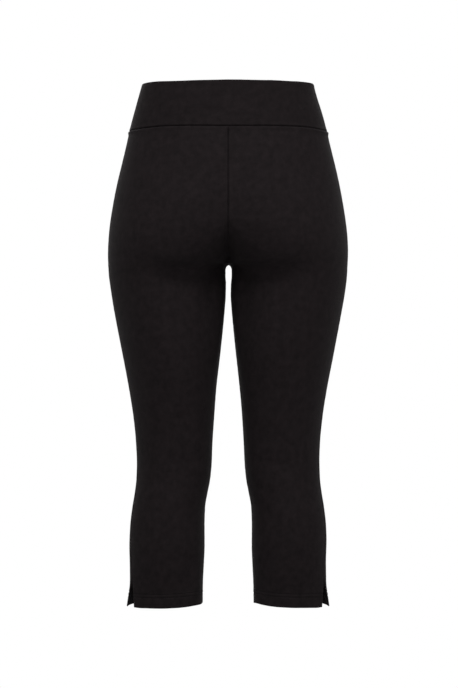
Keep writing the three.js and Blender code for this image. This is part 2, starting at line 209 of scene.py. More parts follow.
def rings(z, steps=300):
    """The right side's section at each level: angle, x, y and distance walked, a row for each."""
    z = np.asarray(z, float)[:, None]
    mid, side, inner, outer = (at_level(k, z) for k in ("mid", "side", "inner", "outer"))
    back, front = at_level("back", z), at_level("front", z)
    n_in, n_back, n_front = (at_level(k, z) for k in ("inside", "outer_back", "outer_front"))
    reach = CROTCH_ROUND - mid

    def end(backward):
        rx = np.where(reach < 0, mid - inner, outer - mid)
        n = np.where(reach < 0, n_in, n_back if backward else n_front)
        share = np.minimum(np.abs(reach) / rx, 1)
        return (-1 if backward else 1) * np.arccos(np.sign(reach) * share ** (n / 2))

    a = end(True)
    b = end(False)
    angle = a + (b - a) * np.linspace(0, 1, steps + 1)[None, :]
    c, d = np.cos(angle), np.sin(angle)
    rx = np.where(c < 0, mid - inner, outer - mid)
    ry = np.where(d < 0, side - back, front - side)
    n = np.where(c < 0, n_in, np.where(d < 0, n_back, n_front))
    u = mid + np.sign(c) * rx * np.abs(c) ** (2 / n)
    y = side + np.sign(d) * ry * np.abs(d) ** (2 / n)
    x = np.sqrt(np.maximum(u * u - CROTCH_ROUND**2, 0))
    walked = np.zeros_like(x)
    walked[:, 1:] = np.cumsum(np.hypot(np.diff(x), np.diff(y)), axis=1)
    return np.degrees(angle), x, y, walked


def look_up(key, value, *columns):
    """Each row's columns where its rising key has the row's value."""
    i = np.clip((key <= value[:, None]).sum(axis=1) - 1, 0, key.shape[1] - 2)
    r = np.arange(len(i))
    t = np.clip((value - key[r, i]) / np.maximum(key[r, i + 1] - key[r, i], 1e-12), 0, 1)
    return [c[r, i] + (c[r, i + 1] - c[r, i]) * t for c in columns]


def level_shift(level, angle, is_back):
    a = np.radians(angle)
    top = BAND_SEAM_RISE * np.maximum(np.maximum(-np.sin(a), 0.35 * np.sin(a)), 0) ** 2
    foot = np.where(np.cos(a) > 0, -HEM_DROP, -HEM_RISE) * np.cos(a)
    foot = foot + (0 if is_back else FRONT_HEM_RISE)
    return top * (1 - ramp(BAND_SEAM_Z, BAND_SEAM_Z - 55, level)) + foot * ramp(-700, HEM_Z, level)


def spread(length, middle):
    """Distances across a width: close together at both edges, even between them."""
    edge = np.array(EDGE_STEPS)
    inner = np.linspace(edge[-1], length - edge[-1], middle + 2)[1:-1]
    return np.concatenate([edge, inner, (length - edge)[::-1]])


def panel_rows(is_back):
    """Every row of points of a leg panel of the right side."""
    pairs = [(BAND_SEAM_Z - d, BAND_SEAM_Z - d) for d in TOP_STEPS]
    last = pairs[-1]
    step = 2.6
    for nxt in PANEL_ROWS:
        reach = max(abs(nxt[0] - last[0]), abs(nxt[1] - last[1]))
        drop = abs(nxt[1] - last[1])
        # near the crotch the seam turns under, so its rows are as close as the seam is long
        if -272 < nxt[0] < -240:
            reach = max(reach, 19)
        count = max(1, round(max(reach, drop) / step))
        for k in range(1, count + 1):
            f = k / count
            pairs.append((last[0] + (nxt[0] - last[0]) * f, last[1] + (nxt[1] - last[1]) * f))
        last = nxt
    pairs += [(HEM_Z + d, HEM_Z + d) for d in HEM_STEPS]
    middle = 86
    t = np.linspace(0, 1, 121)
    grids = {k: [] for k in ("p", "level", "from_slit", "arc", "length")}
    for inner_level, side_level in pairs:
        level = side_level + (inner_level - side_level) * (1 - t) ** 2
        angle, _, _, walked = rings(level)
        total = walked[:, -1]
        seam = at_level("outseam", level) + at_level("slit_back" if is_back else "slit_front", level)
        at_seam = look_up(angle, seam, walked)[0]
        near = np.zeros_like(total) if is_back else total
        lap = 0.1 * ramp(-685, -715, level) * ramp(SLIT_GIVES_Z - 1, SLIT_GIVES_Z, level)
        far = at_seam + (lap if is_back else -lap)
        along = near + (far - near) * t
        where = look_up(walked, along, angle)[0]
        z = level + level_shift(level, where, is_back)
        _, x2, y2, walked2 = rings(z)
        x, y = look_up(walked2, along * walked2[:, -1] / total, x2, y2)
        line = np.stack([x, y, z], -1)
        cum = np.concatenate([[0], np.cumsum(np.linalg.norm(np.diff(line, axis=0), axis=1))])
        s = spread(cum[-1], middle)
        take = lambda v: np.interp(s, cum, v)
        grids["p"].append(np.stack([take(x), take(y), take(z)], -1))
        grids["level"].append(take(level))
        grids["from_slit"].append(take(np.abs(along - at_seam)))
        grids["arc"].append(s)
        grids["length"].append(np.full(len(s), cum[-1]))
    return {k: np.array(v) for k, v in grids.items()}


def bump(v, middle, half):
    return np.exp(-(((v - middle) / half) ** 2))


# How the waist edge, the back hems and the waist seam stray from their even lines: x, rise.
WAIST_STRAY = [
    (-130, 0.55), (-121, 0.65), (-104, 0.55), (-86, -0.2), (-70, -0.4), (-50, -0.1), (-25, 0.1),
    (0, 0.6), (18, 0.5), (30, 0.25), (45, 0.1), (55, 0.15), (64, 0.4), (80, 0.2), (92, 0.1),
    (103, 0.5), (130, 0.75),
]
HEM_STRAY = [
    (-146, 0.3), (-138, 0.5), (-132, 0), (-121, 0), (-109, -0.5), (-97, -0.9), (-86, -1.05),
    (-74, -1.45), (-62, -1.45), (-50, -1.05), (-39, -1.1), (-20, -0.8), (20, 0.8), (38, 0.8),
    (44, 0.85), (50, 0.35), (62, -0.25), (74, -0.35), (85, -0.05), (97, 0.15), (109, 0.45),
    (121, 0.6), (133, 0.35), (139, 0.9), (146, 0.9),
]


SEAM_STRAY = [
    (-160, 0), (-142, -0.2), (-125, 0.15), (-95, 1.0), (-50, 0.15), (-13, -0.7), (25, -0.6),
    (70, 0.3), (105, 1.0), (120, 0.8), (142, -0.8), (160, -0.8),
]


def uneven(p):
    """Small differences between the left and the right of a worn piece."""
    x, y, z = p[..., 0].copy(), p[..., 1], p[..., 2].copy()
    q = p.copy()
    left, right = ramp(-70, -125, x), ramp(60, 118, x)
    q[..., 0] += left * (0.55 * bump(z, -118, 42) - 0.3 * bump(z, -262, 30))
    q[..., 0] -= left * (0.45 * bump(z, -71.5, 3.5) + 0.3 * (ramp(-262, -292, z) - ramp(-532, -568, z)))
    q[..., 0] += right * (0.35 * bump(z, -616, 24) + 0.25 * bump(z, -122, 30))
    q[..., 0] += right * (-1.15 * bump(z, -17, 19) - 0.35 * bump(z, -205, 40))
    q[..., 0] += right * (0.9 * bump(z, -72, 4) - 0.2 * bump(z, -7, 7))
    q[..., 0] += right * (-1.05 * bump(z, -704, 26))
    fork = np.where(z > -285, 1.0, bump(z, -285, 22)) * ramp(-235, -262, z)
    q[..., 0] += 0.75 * fork * bump(x, 0, 22)
    q[..., 0] -= 0.5 * bump(z, -445, 28) * bump(x, -22, 20)
    q[..., 2] += np.interp(x, *np.array(WAIST_STRAY).T) * ramp(-34, 0, z) * ramp(30, -30, y)
    q[..., 2] += np.interp(x, *np.array(SEAM_STRAY).T) * bump(z, -71, 26) * ramp(20, -40, y)
    q[..., 2] += np.interp(x, *np.array(HEM_STRAY).T) * ramp(-736, -772, z) * ramp(-18, -32, y)
    return q


# Main folds of the back: x and z along the bottom of a fold, how far it reaches above and
# below, its depth, the fullness of the cloth that hangs over it, and the x where it has died out.
SEAT_FOLDS = [
    ([(-4, -296), (-41, -298), (-78, -298), (-105, -295), (-127, -286), (-150, -268)],
     31, 82, 14.5, 4.6, -122),
    ([(6, -296), (46, -298), (72, -297), (100, -286), (117, -274), (138, -257)],
     30, 78, 14.0, 4.4, 116),
]


def seat_folds(x, y, z):
    """Inward depth of the folds under the seat."""
    d = np.zeros_like(x)
    for line, above, below, depth, full, end in SEAT_FOLDS:
        line = np.array(sorted(line), float)
        bottom = np.interp(x, line[:, 0], line[:, 1])
        here = ramp(0, math.copysign(15, end), x) * (1 - ramp(end * 0.57, end * 1.12, x))
        # the cloth overhangs at an even slope, turns tightly at the bottom and eases out below it
        w = z - bottom
        left = 1 - w / above
        over = (left + np.sqrt(left**2 + 0.06)) / (1 + math.sqrt(1.06))
        under = np.exp(-((np.minimum(w, 0) / below) ** 2))
        tight = 3.0 + 8.0 * ramp(62, 122, np.abs(x))
        share = 0.5 + 0.5 * np.tanh(w / tight)
        d += depth * (np.minimum(over, 1) * share + under * (1 - share)) * here
        wide = np.where(w > 40, 32, 23)
        d -= full * np.exp(-(((w - 40) / wide) ** 2)) * here
    return d * ramp(-24, -58, y)


def centre_dip(x, y, z):
    """How far the cloth sinks forwards along the foot of the centre back seam."""
    deep = 12.5 * ramp(-198, -266, z)
    wide = 6.5 + 12.5 * ramp(-208, -258, z)
    dip = deep * np.exp(-((x / wide) ** 2)) + 5.0 * ramp(-234, -264, z) * np.exp(-((x / 6.5) ** 2))
    return dip * ramp(-30, -64, y) * ramp(-300, -268, z)


def calf_draw(y, z):
    """How far the cloth behind the lower calf draws forwards towards the hem."""
    return 9.0 * ramp(-676, -800, z) * ramp(-28, -62, y)


# ------------------------------------------------------------------ meshes
def cloth_mesh(name, outer, inner, uv, reverse=False, face=None, inside=None):
    """A closed shell between two grids of points, with a map in metres of flat cloth."""
    rows, cols, _ = outer.shape
    if reverse:
        outer, inner, uv = outer[:, ::-1], inner[:, ::-1], uv[:, ::-1]
    ids = np.arange(rows * cols).reshape(rows, cols)
    a, b, c, d = ids[:-1, :-1], ids[1:, :-1], ids[1:, 1:], ids[:-1, 1:]
    front = np.stack([a, b, c, d], -1).reshape(-1, 4)
    other = np.stack([a, d, c, b], -1).reshape(-1, 4) + rows * cols
    off = rows * cols
    top = np.stack([ids[0, :-1], ids[0, 1:], ids[0, 1:] + off, ids[0, :-1] + off], -1)
    foot = np.stack([ids[-1, :-1], ids[-1, :-1] + off, ids[-1, 1:] + off, ids[-1, 1:]], -1)
    left = np.stack([ids[:-1, 0], ids[:-1, 0] + off, ids[1:, 0] + off, ids[1:, 0]], -1)
    right = np.stack([ids[:-1, -1], ids[1:, -1], ids[1:, -1] + off, ids[:-1, -1] + off], -1)
    faces = np.concatenate([front, other, top, foot, left, right])
    points = np.concatenate([outer.reshape(-1, 3), inner.reshape(-1, 3)]) * MM
    mesh = bpy.data.meshes.new(name)
    mesh.vertices.add(len(points))
    mesh.vertices.foreach_set("co", points.astype(np.float32).ravel())
    mesh.loops.add(faces.size)
    mesh.loops.foreach_set("vertex_index", faces.astype(np.int32).ravel())
    mesh.polygons.add(len(faces))
    mesh.polygons.foreach_set("loop_start", np.arange(0, faces.size, 4, dtype=np.int32))
    mesh.polygons.foreach_set("use_smooth", np.ones(len(faces), bool))
    # the side that faces inwards is the second material, by default the reverse jersey darkened as painted
    # shade
    side = np.zeros(len(faces), np.int32)
    side[len(front) : len(front) + len(other)] = 1
    mesh.polygons.foreach_set("material_index", side)
    mesh.update(calc_edges=True)
    flat = np.concatenate([uv.reshape(-1, 2), uv.reshape(-1, 2)]) * MM
    layer = mesh.uv_layers.new(name="cloth")
    layer.data.foreach_set("uv", flat[faces.ravel()].astype(np.float32).ravel())
    mesh.validate()
    obj = bpy.data.objects.new(name, mesh)
    obj.data.materials.append(face or JERSEY)
    obj.data.materials.append(inside or JERSEY_REVERSE_PAINTED_SHADE)
    bpy.context.scene.collection.objects.link(obj)
    return obj


def stitches(name, runs, material, radius=0.23):
    """Many short threads lying on the cloth; each run is a line of points and its outward side."""
    verts, faces = [], []
    sides = 6
    for line, out in runs:
        line = np.asarray(line, float)
        n = len(line)
        along = np.gradient(line, axis=0)
        along /= np.linalg.norm(along, axis=1, keepdims=True)
        across = np.cross(along, out)
        across /= np.linalg.norm(across, axis=1, keepdims=True)
        up = np.cross(across, along)
        start = len(verts)
        for i in range(n):
            f = i / (n - 1)
            r = radius * (0.35 + 0.65 * math.sin(math.pi * f) ** 0.5)
            dip = -0.28 * (1 - math.sin(math.pi * f) ** 0.6)
            for k in range(sides):
                a = 2 * math.pi * k / sides
                verts.append(
                    line[i] + up[i] * (dip + r * math.sin(a)) + across[i] * r * 1.15 * math.cos(a)
                )
        for i in range(n - 1):
            for k in range(sides):
                k2 = (k + 1) % sides
                p = start + i * sides
                faces.append((p + k, p + sides + k, p + sides + k2, p + k2))
        faces.append(tuple(start + k for k in range(sides)))
        end = start + (n - 1) * sides
        faces.append(tuple(end + k for k in reversed(range(sides))))
    mesh = bpy.data.meshes.new(name)
    mesh.from_pydata((np.array(verts) * MM).tolist(), [], faces)
    mesh.polygons.foreach_set("use_smooth", np.ones(len(mesh.polygons), bool))
    mesh.update()
    obj = bpy.data.objects.new(name, mesh)
    obj.data.materials.append(material)
    bpy.context.scene.collection.objects.link(obj)
    return obj


# ------------------------------------------------------------------ materials
def nodes_of(material):
    material.use_nodes = True
    tree = material.node_tree
    tree.nodes.clear()
    return tree


def put(tree, kind, **values):
    node = tree.nodes.new(kind)
    for key, value in values.items():
        if hasattr(node, key):
            setattr(node, key, value)
        else:
            node.inputs[key.replace("_", " ").title()].default_value = value
    return node


def maths(tree, operation, a, b=None, c=None):
    node = tree.nodes.new("ShaderNodeMath")
    node.operation = operation
    for socket, value in zip(node.inputs, (a, b, c)):
        if value is None:
            continue
        if isinstance(value, (int, float)):
            socket.default_value = value
        else:
            tree.links.new(value, socket)
    return node.outputs[0]


def jersey_material(name, dark, light, sheen, specular, roughness, wale=0.00075, course=0.0006):
    """Stretch jersey: columns of small V-shaped stitches under a short brushed nap."""
    material = bpy.data.materials.new(name)
    tree = nodes_of(material)
    link = tree.links.new
    out = tree.nodes.new("ShaderNodeOutputMaterial")
    bsdf = tree.nodes.new("ShaderNodeBsdfPrincipled")
    link(bsdf.outputs[0], out.inputs["Surface"])
    place = tree.nodes.new("ShaderNodeTexCoord")
    split = tree.nodes.new("ShaderNodeSeparateXYZ")
    link(place.outputs["UV"], split.inputs[0])
    u, v = split.outputs[0], split.outputs[1]
    # the knitted stitches
    column = maths(tree, "DIVIDE", u, wale)
    folded = maths(tree, "ABSOLUTE", maths(tree, "SUBTRACT", maths(tree, "FRACT", column), 0.5))
    leg = maths(tree, "MULTIPLY", folded, 2.0)  # 0 in the middle of a wale, 1 between wales
    hump = maths(tree, "SINE", maths(tree, "MULTIPLY", leg, math.pi))
    phase = maths(tree, "ADD", maths(tree, "DIVIDE", v, course), maths(tree, "MULTIPLY", leg, 0.9))
    beat = maths(tree, "COSINE", maths(tree, "MULTIPLY", phase, 2 * math.pi))
    knit = maths(tree, "MULTIPLY", hump, maths(tree, "MULTIPLY_ADD", beat, 0.35, 0.65))
    # the nap and the slow unevenness of worn cloth
    nap = tree.nodes.new("ShaderNodeTexNoise")
    nap.inputs["Scale"].default_value = 2600
    nap.inputs["Detail"].default_value = 3
    nap.inputs["Roughness"].default_value = 0.6
    link(place.outputs["Object"], nap.inputs["Vector"])
    mottle = tree.nodes.new("ShaderNodeTexNoise")
    mottle.inputs["Scale"].default_value = 105
    mottle.inputs["Detail"].default_value = 5
    mottle.inputs["Roughness"].default_value = 0.68
    link(place.outputs["Object"], mottle.inputs["Vector"])
    height = maths(tree, "MULTIPLY_ADD", nap.outputs[0], 0.55, maths(tree, "MULTIPLY", knit, 0.6))
    bump = tree.nodes.new("ShaderNodeBump")
    bump.inputs["Strength"].default_value = 0.5
    bump.inputs["Distance"].default_value = 0.00012
    link(height, bump.inputs["Height"])
    link(bump.outputs[0], bsdf.inputs["Normal"])
    # The colour: a random mottled tone, plus lighter on the stitches' tops and the nap's high fibres and darker
    # in the hollows between them, as painted shade.
    shade = maths(
        tree,
        "MULTIPLY_ADD",
        mottle.outputs[0],
        2.05,
        maths(tree, "MULTIPLY_ADD", knit, 0.16, maths(tree, "MULTIPLY_ADD", nap.outputs[0], 0.3, -0.68)),
    )
    mix = tree.nodes.new("ShaderNodeMix")
    mix.data_type = "RGBA"
    mix.clamp_factor = True
    mix.inputs["A"].default_value = (*dark, 1)
    mix.inputs["B"].default_value = (*light, 1)
    link(shade, mix.inputs["Factor"])
    link(mix.outputs["Result"], bsdf.inputs["Base Color"])
    rough = maths(tree, "MULTIPLY_ADD", nap.outputs[0], 0.12, roughness)
    link(rough, bsdf.inputs["Roughness"])
    bsdf.inputs["Specular IOR Level"].default_value = specular
    bsdf.inputs["Sheen Weight"].default_value = sheen
    bsdf.inputs["Sheen Roughness"].default_value = 0.45
    bsdf.inputs["Sheen Tint"].default_value = (1.0, 0.93, 0.95, 1)
    return material


def thread_material(name):
    """Spun polyester thread: fine slanting twist, a little glossier than the cloth."""
    material = bpy.data.materials.new(name)
    tree = nodes_of(material)
    link = tree.links.new
    out = tree.nodes.new("ShaderNodeOutputMaterial")
    bsdf = tree.nodes.new("ShaderNodeBsdfPrincipled")
    link(bsdf.outputs[0], out.inputs["Surface"])
    place = tree.nodes.new("ShaderNodeTexCoord")
    wave = tree.nodes.new("ShaderNodeTexWave")
    wave.bands_direction = "DIAGONAL"
    wave.inputs["Scale"].default_value = 900
    wave.inputs["Distortion"].default_value = 1.5
    link(place.outputs["Object"], wave.inputs["Vector"])
    bump = tree.nodes.new("ShaderNodeBump")
    bump.inputs["Strength"].default_value = 0.4
    bump.inputs["Distance"].default_value = 0.00005
    link(wave.outputs["Fac"], bump.inputs["Height"])
    link(bump.outputs[0], bsdf.inputs["Normal"])
    # The twist's grooves are painted darker than its ridges: painted shade along the twist.
    mix = tree.nodes.new("ShaderNodeMix")
    mix.data_type = "RGBA"
    mix.inputs["A"].default_value = (0.0020, 0.0015, 0.0016, 1)
    mix.inputs["B"].default_value = (0.0042, 0.0032, 0.0034, 1)
    link(wave.outputs["Fac"], mix.inputs["Factor"])
    link(mix.outputs["Result"], bsdf.inputs["Base Color"])
    bsdf.inputs["Roughness"].default_value = 0.62
    bsdf.inputs["Specular IOR Level"].default_value = 0.1
    return material


JERSEY = jersey_material(
    "black_jersey",
    dark=(0.0030, 0.0022, 0.0024),
    light=(0.0077, 0.0057, 0.0062),
    sheen=0.010,
    specular=0.06,
    roughness=0.8,
)
BAND_JERSEY = jersey_material(
    "black_band_jersey",
    dark=(0.0028, 0.0020, 0.0022),
    light=(0.0069, 0.0051, 0.0055),
    sheen=0.009,
    specular=0.06,
    roughness=0.82,
)
# The cloth's reverse face: rougher and without sheen, and its colour darker than the face's as painted shade
# for the inside seen through the slits and the waist.
JERSEY_REVERSE_PAINTED_SHADE = jersey_material(
    "black_jersey_reverse_painted_shade",
    dark=(0.0027, 0.0022, 0.0023),
    light=(0.0056, 0.0045, 0.0048),
    sheen=0.0,
    specular=0.04,
    roughness=0.9,
)
THREAD = thread_material("black_thread")


# ------------------------------------------------------------------ leg panels
# Soft troughs in the worn cloth, a row for each: from and to on the panel as (distance
# from the centre seam or inseam, level), half-width and depth. They are faint: the cloth is taut.
BACK_CREASES = {
    "right": [
        (12, -274, 96, -263, 8.0, 0.75),
        (16, -287, 82, -293, 6.5, 0.5),
        (9, -303, 58, -320, 6.0, 0.35),
        (26, -560, 122, -574, 8.0, 1.1),
        (40, -586, 104, -579, 6.5, 0.85),
        (20, -602, 84, -613, 7.0, 0.7),
        (34, -642, 98, -655, 9.0, 0.45),
        (30, -711, 96, -722, 8.0, 0.45),
    ],
    "left": [
        (14, -276, 88, -266, 7.0, 0.7),
        (12, -289, 90, -297, 7.5, 0.45),
        (10, -309, 52, -327, 5.5, 0.35),
        (18, -571, 110, -562, 8.5, 1.05),
        (32, -583, 114, -591, 7.0, 0.9),
        (46, -603, 100, -609, 6.0, 0.6),
        (28, -648, 88, -640, 8.5, 0.4),
        (24, -716, 84, -708, 7.5, 0.45),
    ],
}
FRONT_CREASES = {
    "right": [
        (10, -262, 96, -224, 8.5, 1.5),
        (12, -277, 88, -254, 7.0, 1.15),
        (8, -292, 66, -291, 6.5, 0.8),
        (34, -522, 120, -515, 9.0, 0.75),
        (46, -548, 114, -553, 8.0, 0.65),
        (24, -700, 92, -710, 8.0, 0.4),
    ],
    "left": [
        (12, -259, 90, -218, 7.5, 1.4),
        (10, -277, 94, -260, 8.0, 1.05),
        (9, -296, 60, -301, 6.0, 0.75),
        (28, -517, 112, -525, 8.5, 0.8),
        (42, -552, 118, -545, 8.0, 0.6),
        (30, -714, 96, -704, 8.5, 0.4),
    ],
}


def troughs(rows, s, z):
    d = np.zeros_like(s)
    for s0, z0, s1, z1, width, depth in rows:
        ax, az = s1 - s0, z1 - z0
        length = math.hypot(ax, az)
        t = ((s - s0) * ax + (z - z0) * az) / length**2
        # a slight bow, and a width that opens along the crease
        off = ((s - s0) * az - (z - z0) * ax) / length + 3.0 * np.sin(math.pi * np.clip(t, 0, 1))
        w = width * (0.75 + 0.5 * np.clip(t, 0, 1))
        fade = ramp(-0.12, 0.25, t) * (1 - ramp(0.6, 1.15, t))
        d -= depth * np.exp(-((off / w) ** 2)) * fade
        d += 0.35 * depth * np.exp(-(((off - 1.9 * w) / (1.3 * w)) ** 2)) * fade
    return d


def slow_waves(s, z, seed):
    rng = np.random.default_rng(seed)
    d = np.zeros_like(s)
    for _ in range(7):
        length = rng.uniform(55, 130)
        a = rng.uniform(0, math.pi)
        d += rng.uniform(0.02, 0.07) * np.sin(
            2 * math.pi * (s * math.cos(a) + z * math.sin(a)) / length + rng.uniform(0, 6.28)
        )
    return d


def pucker(along, away, seed, size=0.1, reach=5.0):
    """The small unevenness of sewn cloth beside a seam."""
    rng = np.random.default_rng(seed)
    d = np.zeros_like(along)
    for _ in range(6):
        length = rng.uniform(6, 17)
        d += np.sin(2 * math.pi * along / length + rng.uniform(0, 6.28)) / 6
    return size * 1.8 * d * np.exp(-((away / reach) ** 2))


def ridge(d, width, soft=0.7):
    return 1 - ramp(width - soft, width + soft, d)


def leg_panel(is_back, grid):
    p, level, arc, length = grid["p"], grid["level"], grid["arc"], grid["length"]
    n = outward(p)
    to_inner, to_outer = arc, length - arc
    below_band = BAND_SEAM_Z - level
    above_hem = level - HEM_Z
    is_slit = ramp(SLIT_GIVES_Z + 0.5, SLIT_TOP_Z - 3.5, level)
    down = np.concatenate(
        [np.zeros((1, p.shape[1])), np.cumsum(np.linalg.norm(np.diff(p, axis=0), axis=2), axis=0)]
    )
    opened = np.maximum((SLIT_TOP_Z - level) / (SLIT_TOP_Z - HEM_Z), 0)
    flare = (
        0
        if is_back
        else SLIT_FLARE * opened**1.15 * np.exp(-((grid["from_slit"] / SLIT_FLARE_REACH) ** 2))
    )
    droop = np.zeros_like(arc)
    if not is_back:
        droop = SLIT_DROOP * opened * np.exp(-((grid["from_slit"] / 13.5) ** 2))
    lift = SEAM_STEP * (1 - ramp(BAND_SEAM_Z - 1, BAND_SEAM_Z - SEAM_STEP_DROP, p[..., 2]))
    made = {}
    for k, hand in enumerate(("right", "left")):
        seed = 10 * k + (1 if is_back else 5)
        creases = (BACK_CREASES if is_back else FRONT_CREASES)[hand]
        sign = 1 if hand == "right" else -1
        x, y, z = p[..., 0] * sign, p[..., 1], p[..., 2]
        shared = NAP + lift + flare + troughs(creases, arc, z) + slow_waves(arc, down, seed)
        shared = shared - seat_folds(x, y, z)
        dip, draw = centre_dip(x, y, z), calf_draw(y, z)
        # grooves where the panel meets its neighbours, and the swell of the allowance beside them
        groove = np.zeros_like(arc)
        # pressed flatter where it rounds the hips
        groove -= 2.8 * np.exp(-((below_band / 1.12) ** 2)) * (1 - 0.55 * ramp(130, 152, np.abs(x)))
        # the four panels meet in a bulky knot of allowances at the crotch, and the seam fades there
        near_fork = bump(level[:, :1], -272, 12)
        fading = 0.68 * ramp(-198, -236, level[:, :1]) * (1 - 0.7 * ramp(-242, -258, level[:, :1]))
        faint = 1 - 0.85 * near_fork - fading * (1 - near_fork)
        faint = faint * (1 - np.exp(-((below_band / 1.7) ** 2)))
        groove -= 1.95 * np.exp(-((to_inner / 0.95) ** 2)) * faint
        groove -= 1.1 * np.exp(-((to_outer / 0.75) ** 2)) * (1 - is_slit)
        swell = 0.22 if hand == "left" else 0.12
        groove += swell * np.exp(-(((to_inner - 3.2) / 2.4) ** 2))
        groove += 0.14 * np.exp(-(((to_outer - 3.2) / 2.4) ** 2)) * (1 - is_slit)
        groove += pucker(down, to_inner, seed + 100, 0.1)
        groove += pucker(down, to_outer, seed + 200, 0.09) * (1 - is_slit)
        groove += pucker(arc, below_band, seed + 300, 0.14, 7.0)
        # the hem: a shallow trench under each row of stitches, puffed cloth between them
        for row in STITCH_ROWS:
            groove -= 0.55 * np.exp(-(((above_hem - row) / 0.8) ** 2))
        groove += pucker(arc, above_hem - 18, seed + 400, 0.13, 5.0)
        groove += 0.2 * np.exp(-(((above_hem - 18) / 1.6) ** 2))
        extra = np.maximum.reduce(
            [
                ALLOWANCE * ridge(to_inner, ALLOWANCE_WIDTH),
                ALLOWANCE * ridge(to_outer, ALLOWANCE_WIDTH + 1.5 * is_slit),
                ALLOWANCE * ridge(below_band, ALLOWANCE_WIDTH),
                ALLOWANCE * ridge(above_hem, HEM_DEPTH, 0.4),
            ]
        )
        thick = CLOTH + extra
        half = thick / 2
        # rolled edges at the hem's fold and at the turned edges of the slit
        roll = np.zeros_like(arc)
        for d, here in ((above_hem, 1.0), (to_outer, is_slit)):
            q = np.clip(1 - d / half, 0, 1)
            roll = np.maximum(roll, half * (1 - np.sqrt(1 - q * q * 0.9996)) * here)
        off_out = shared + groove - roll
        off_in = shared - thick + roll
        off_in = np.minimum(off_in, off_out - 0.35 + 0.3 * np.minimum(roll / half, 1))
        turn = np.array([sign, 1, 1])
        push = np.stack([0 * dip, dip + draw, -0.088 * draw - droop], -1)
        outer = uneven((p + n * off_out[..., None]) * turn + push)
        inner = uneven((p + n * off_in[..., None]) * turn + push)
        nn = n * turn
        name = ("back_" if is_back else "front_") + hand
        shift = {"back_right": 0, "back_left": 900, "front_right": 1800, "front_left": 2700}[name]
        uv = np.stack([arc - length * 0.5 + shift, -down], -1)
        obj = cloth_mesh("cloth_" + name, outer, inner, uv, reverse=(hand == "left") == is_back)
        # twin-needle stitches over the turned hem, and one row beside the slit's turned edge
        runs = []

        def thread(line_p, line_n, pitch=3.0, gap=0.5, start=0.6, stop=0.6):
            cum = np.concatenate(
                [[0], np.cumsum(np.linalg.norm(np.diff(line_p, axis=0), axis=1))]
            )
            a = start
            while a + pitch - gap < cum[-1] - stop:
                at = np.linspace(a, a + pitch - gap, 7)
                pts = np.stack([np.interp(at, cum, line_p[:, i]) for i in range(3)], -1)
                nrm = np.stack([np.interp(at, cum, line_n[:, i]) for i in range(3)], -1)
                nrm /= np.linalg.norm(nrm, axis=1, keepdims=True)
                runs.append((pts + nrm * 0.1, nrm))
                a += pitch

        for row in STITCH_ROWS:
            r = int(np.argmin(np.abs(above_hem[:, 0] - row)))
            thread(outer[r], nn[r], start=0.6 + (0.9 if row > 18 else 0), stop=4.6)
        col = int(np.argmin(np.abs((length - arc)[-1] - 4.9)))
        rows_here = np.where((level[:, col] < SLIT_TOP_Z + 4) & (above_hem[:, col] > 1.5))[0]
        thread(outer[rows_here, col], nn[rows_here, col])
        thread_obj = stitches("stitches_" + name, runs, THREAD)
        made[name] = (obj, thread_obj)
    return made


# ------------------------------------------------------------------ waistband
def band_half(is_back):
    steps = [0.0, 0.08, 0.2, 0.38, 0.62, 0.9, 1.2, 1.6, 2.2, 3.1, 4.4]
    body = np.linspace(6.2, 60, 25)
    foot = [70.2 - d for d in (8.2, 6.4, 4.9, 3.6, 2.6, 1.9, 1.4, 1.02, 0.72, 0.48, 0.28, 0.12, 0.0)]
    depth = np.concatenate([steps, body, foot])
    middle = 70
    t = np.linspace(0, 1, 121)
    rows_p, rows_arc, rows_len = [], [], []
    for d in depth:
        level = np.full_like(t, -d)
        angle, _, _, walked = rings(level)
        total = walked[:, -1]
        at_side = look_up(angle, np.zeros_like(t), walked)[0]
        half = at_side if is_back else total - at_side
        away = t * half
        along = away if is_back else total - away
        where = look_up(walked, along, angle)[0]
        shift = level_shift(np.full_like(t, BAND_SEAM_Z), where, is_back) * (d / -BAND_SEAM_Z)
        z = level + shift
        _, x2, y2, walked2 = rings(z)
        x, y = look_up(walked2, along * walked2[:, -1] / total, x2, y2)
        x[0] = 0.0
        line = np.stack([x, y, z], -1)
        cum = np.concatenate([[0], np.cumsum(np.linalg.norm(np.diff(line, axis=0), axis=1))])
        edge = np.array(EDGE_STEPS)
        s = np.concatenate([np.linspace(0, cum[-1] - edge[-1], middle + 1)[:-1], (cum[-1] - edge)[::-1]])
        rows_p.append(np.stack([np.interp(s, cum, v) for v in (x, y, z)], -1))
        rows_arc.append(s)
        rows_len.append(np.full(len(s), cum[-1]))
    p, arc, length = np.array(rows_p), np.array(rows_arc), np.array(rows_len)
    flip = np.array([-1, 1, 1])
    p = np.concatenate([p[:, :0:-1] * flip, p], axis=1)
    n_full = outward(p)
    arc_full = np.concatenate([-arc[:, :0:-1], arc], axis=1)
    to_side = np.concatenate([(length - arc)[:, :0:-1], length - arc], axis=1)
    below = np.repeat(depth[:, None], p.shape[1], axis=1)
    return p, n_full, arc_full, to_side, below


